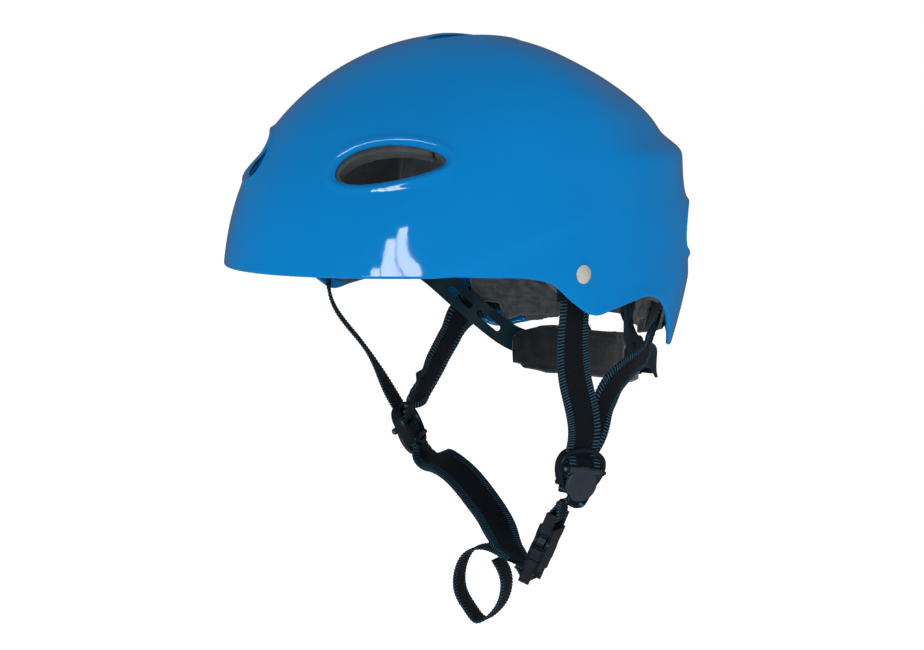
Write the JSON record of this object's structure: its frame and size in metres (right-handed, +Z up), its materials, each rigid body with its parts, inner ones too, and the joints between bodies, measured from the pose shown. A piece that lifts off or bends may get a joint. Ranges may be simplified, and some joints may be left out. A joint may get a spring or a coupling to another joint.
{
  "type": "water sports helmet",
  "caption": "Glossy blue water sports helmet with foam liner, dial-tightened nape cradle, strap dividers and a side-release chin buckle.",
  "frame": {"origin": "the point under the crown pad that the top of the wearer's head touches", "axes": "+Z up, the brow faces -Y, the wearer's left is +X"},
  "size_m": [0.2194, 0.2838, 0.3216],
  "materials": {
    "shell_blue": "high gloss",
    "eva_foam": "matt closed-cell foam",
    "pad_fabric": "brushed knit",
    "grey_fabric": "creased knit",
    "rivet_steel": "polished",
    "rivet_black": "satin",
    "webbing": "ribbed polyester webbing",
    "black_acetal": "fine satin",
    "lever_grey": "satin",
    "pin_steel": "bright",
    "cradle_plastic": "satin"
  },
  "bodies": {
    "helmet": {"outer_shell": "shell_blue", "foam_crown": "eva_foam", "foam_front": "eva_foam", "foam_rear": "eva_foam", "foam_left": "eva_foam", "foam_right": "eva_foam", "front_pad": "pad_fabric", "rear_pad": "grey_fabric", "side_pad_left": "pad_fabric", "side_pad_right": "pad_fabric", "crown_pad": "pad_fabric", "side_rivet_left": "rivet_steel", "side_rivet_right": "rivet_steel", "rear_rivet_left": "rivet_black", "rear_rivet_right": "rivet_black", "front_strap_hanger_left": "black_acetal", "front_strap_hanger_right": "black_acetal", "rear_strap_hanger_left": "black_acetal", "rear_strap_hanger_right": "black_acetal", "front_strap_left": "webbing", "front_strap_right": "webbing", "rear_strap_left": "webbing", "rear_strap_right": "webbing", "lower_strap_left": "webbing", "chin_strap": "webbing", "strap_tail": "webbing", "buckle_socket": "black_acetal", "nape_gearbox": "cradle_plastic", "nape_gearbox_cover": "cradle_plastic", "nape_pad": "pad_fabric", "cradle_strand_left": "cradle_plastic", "cradle_strand_right": "cradle_plastic", "hanger_stud_left": "cradle_plastic", "hanger_stud_right": "cradle_plastic", "fit_arm_left": "cradle_plastic", "fit_arm_right": "cradle_plastic"},
    "divider_l": {"divider_left": "black_acetal", "lever_pin_left": "pin_steel"},
    "divider_r": {"divider_right": "black_acetal", "lever_pin_right": "pin_steel"},
    "lever_l": {"divider_lever_left": "lever_grey"},
    "lever_r": {"divider_lever_right": "lever_grey"},
    "plug": {"buckle_plug": "black_acetal", "buckle_prong_left": "black_acetal", "buckle_prong_right": "black_acetal"},
    "dial": {"dial_knob": "cradle_plastic", "dial_pinion": "cradle_plastic", "dial_screw": "pin_steel"},
    "rack_l": {"fit_rack_left": "cradle_plastic"},
    "rack_r": {"fit_rack_right": "cradle_plastic"}
  },
  "joints": [
    {"name": "divider_left_slide", "type": "slide", "parent": "helmet", "child": "divider_l", "axis": [0.2207, 0.1204, 0.9679], "range_m": [0, 0.012], "deforming": ["front_strap_left", "rear_strap_left"]},
    {"name": "divider_right_slide", "type": "slide", "parent": "helmet", "child": "divider_r", "axis": [-0.3509, -0.3409, 0.8722], "range_m": [0, 0.012], "deforming": ["front_strap_right", "rear_strap_right"]},
    {"name": "lever_left_hinge", "type": "hinge", "parent": "divider_l", "child": "lever_l", "pos_m": [0.08691, 0.01309, -0.21117], "axis": [-0.1724, -0.9719, 0.1602], "range_deg": [0, 75]},
    {"name": "lever_right_hinge", "type": "hinge", "parent": "divider_r", "child": "lever_r", "pos_m": [-0.07702, 0.02378, -0.20298], "axis": [-0.5511, 0.8282, 0.1019], "range_deg": [0, 75]},
    {"name": "buckle_slide", "type": "slide", "parent": "helmet", "child": "plug", "axis": [-0.3294, -0.2196, -0.9183], "range_m": [0, 0.03], "deforming": ["buckle_prong_left", "buckle_prong_right", "chin_strap", "strap_tail"]},
    {"name": "dial_hinge", "type": "hinge", "parent": "helmet", "child": "dial", "pos_m": [0, 0.116, -0.16], "axis": [0, 1, 0], "range_deg": [-85, 85]},
    {"name": "rack_left_slide", "type": "slide", "parent": "helmet", "child": "rack_l", "axis": [-1, 0, 0], "range_m": [-0.0082, 0.0082], "deforming": ["fit_arm_left"]},
    {"name": "rack_right_slide", "type": "slide", "parent": "helmet", "child": "rack_r", "axis": [1, 0, 0], "range_m": [-0.0082, 0.0082], "deforming": ["fit_arm_right"]}
  ],
  "couplings": [
    {"joint": "rack_left_slide", "follows": "dial_hinge", "m_per_rad": 0.0054},
    {"joint": "rack_right_slide", "follows": "dial_hinge", "m_per_rad": 0.0054}
  ]
}
